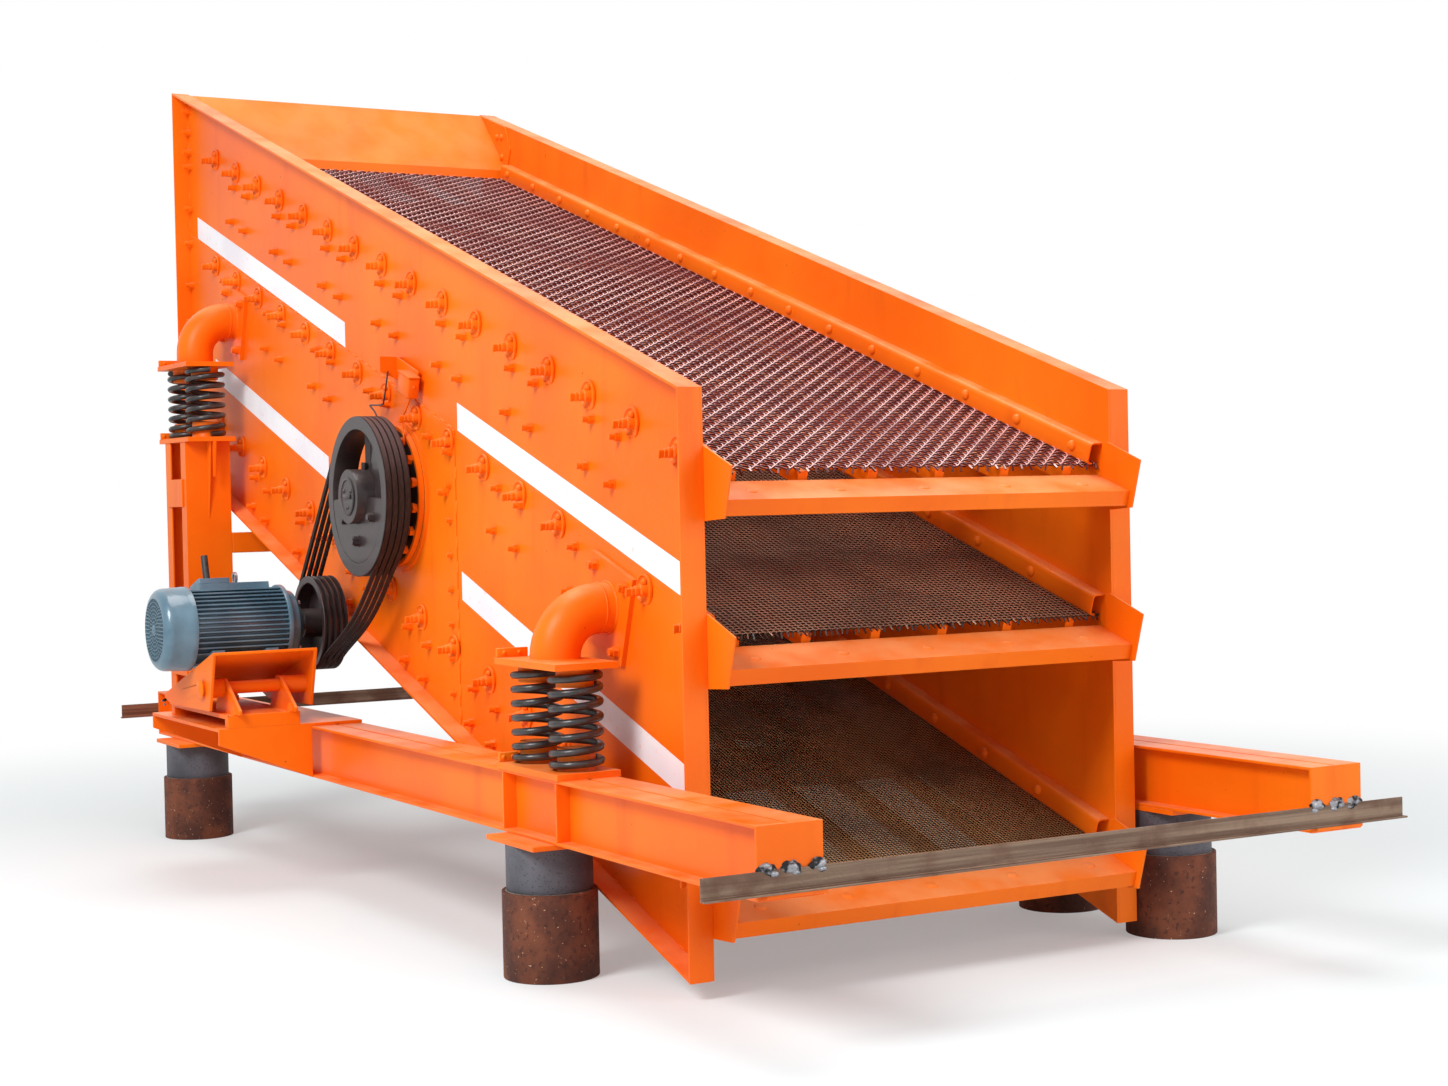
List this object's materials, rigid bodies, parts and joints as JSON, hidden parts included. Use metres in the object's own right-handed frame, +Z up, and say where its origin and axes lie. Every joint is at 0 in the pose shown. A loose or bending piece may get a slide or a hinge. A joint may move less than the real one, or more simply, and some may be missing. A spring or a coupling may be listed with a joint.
{
  "type": "vibrating sieve",
  "caption": "Inclined multi-deck vibrating sieve on coil springs, shaken by a belt-driven eccentric shaft, that sorts bulk material by size.",
  "frame": {"origin": "middle of the base of the bounding box, on the ground", "axes": "+Z up, +Y up the decks towards the feed end, +X to the right seen from the discharge end"},
  "size_m": [3.405, 7.002, 4.2002],
  "materials": {
    "orange_paint": "glossy orange machine paint",
    "top_wire": "dark red-brown woven wire",
    "middle_wire": "bronze-brown woven wire",
    "bottom_wire": "bronze-brown fine wire",
    "wheel_paint": "dark grey painted cast iron",
    "spring_steel": "dark coated spring steel",
    "bare_steel": "weathered bare angle steel",
    "motor_paint": "blue-grey motor enamel",
    "belt_rubber": "black rubber",
    "rusty_pipe": "rusty steel pipe",
    "grey_block": "grey block",
    "shaft_steel": "machined steel",
    "concrete_fill": "concrete fill",
    "conduit_black": "black conduit"
  },
  "bodies": {
    "base_frame": {"left_rail_beams": "orange_paint", "right_rail_beams": "orange_paint", "rail_plates": "orange_paint", "front_tie_bar": "bare_steel", "rear_tie_bar": "bare_steel", "left_column": "orange_paint", "right_column": "orange_paint", "column_tie": "orange_paint", "stand_pipes": "rusty_pipe", "stand_cores": "concrete_fill", "stand_blocks": "grey_block", "rail_pads": "orange_paint", "motor_bracket": "orange_paint", "cradle_base": "orange_paint", "pivot_tube": "orange_paint", "lower_spring_seats": "orange_paint", "front_springs": "spring_steel", "rear_springs": "spring_steel", "v_belts": "belt_rubber"},
    "screen_box": {"left_side_plate": "orange_paint", "right_side_plate": "orange_paint", "edge_flanges": "orange_paint", "side_doublers": "orange_paint", "top_cloth": "top_wire", "middle_cloth": "middle_wire", "bottom_cloth": "bottom_wire", "deck_bars": "orange_paint", "clamp_rails": "orange_paint", "discharge_lips": "orange_paint", "lip_cheeks": "orange_paint", "deck_cross_beams": "orange_paint", "back_plate": "orange_paint", "feed_strip": "orange_paint", "back_brackets": "orange_paint", "rear_upstands": "orange_paint", "exciter_tube": "orange_paint", "reinforcing_rings": "orange_paint", "bearing_housings": "wheel_paint", "exciter_bearings": "shaft_steel", "support_elbows": "orange_paint", "upper_spring_seats": "orange_paint", "lubrication_box": "orange_paint"},
    "exciter_rotor": {"exciter_shaft": "shaft_steel", "drive_pulley": "wheel_paint", "flywheel": "wheel_paint", "eccentric_weights": "wheel_paint"},
    "motor_cradle": {"motor_cradle": "orange_paint", "motor_frame": "motor_paint", "motor_stator": "shaft_steel", "fan_cowl": "motor_paint", "cowl_grille": "motor_paint", "rear_end_bell": "motor_paint", "drive_end_bell": "motor_paint", "terminal_box": "motor_paint", "conduit_stub": "conduit_black", "lifting_eye": "bare_steel"},
    "motor_rotor": {"motor_shaft": "shaft_steel", "motor_rotor_core": "shaft_steel", "motor_fan": "wheel_paint", "motor_pulley": "wheel_paint"}
  },
  "joints": [
    {"name": "box_bounce", "type": "slide", "parent": "base_frame", "child": "screen_box", "axis": [0, 0, 1], "range_m": [-0.03, 0.03], "stiffness_N_per_m": 2768000, "springref_m": 0.0323, "deforming": ["front_springs", "rear_springs", "v_belts"]},
    {"name": "exciter_spin", "type": "hinge", "parent": "screen_box", "child": "exciter_rotor", "pos_m": [0.2025, 0.325, 1.83], "axis": [1, 0, 0], "continuous": true},
    {"name": "cradle_tilt", "type": "hinge", "parent": "base_frame", "child": "motor_cradle", "pos_m": [0.2025, 0.781, 0.953], "axis": [1, 0, 0], "range_deg": [-3, 3]},
    {"name": "motor_spin", "type": "hinge", "parent": "motor_cradle", "child": "motor_rotor", "pos_m": [0.2025, 1.017, 1.224], "axis": [1, 0, 0], "continuous": true}
  ],
  "couplings": [
    {"joint": "motor_spin", "follows": "exciter_spin", "ratio": 1.6172}
  ]
}
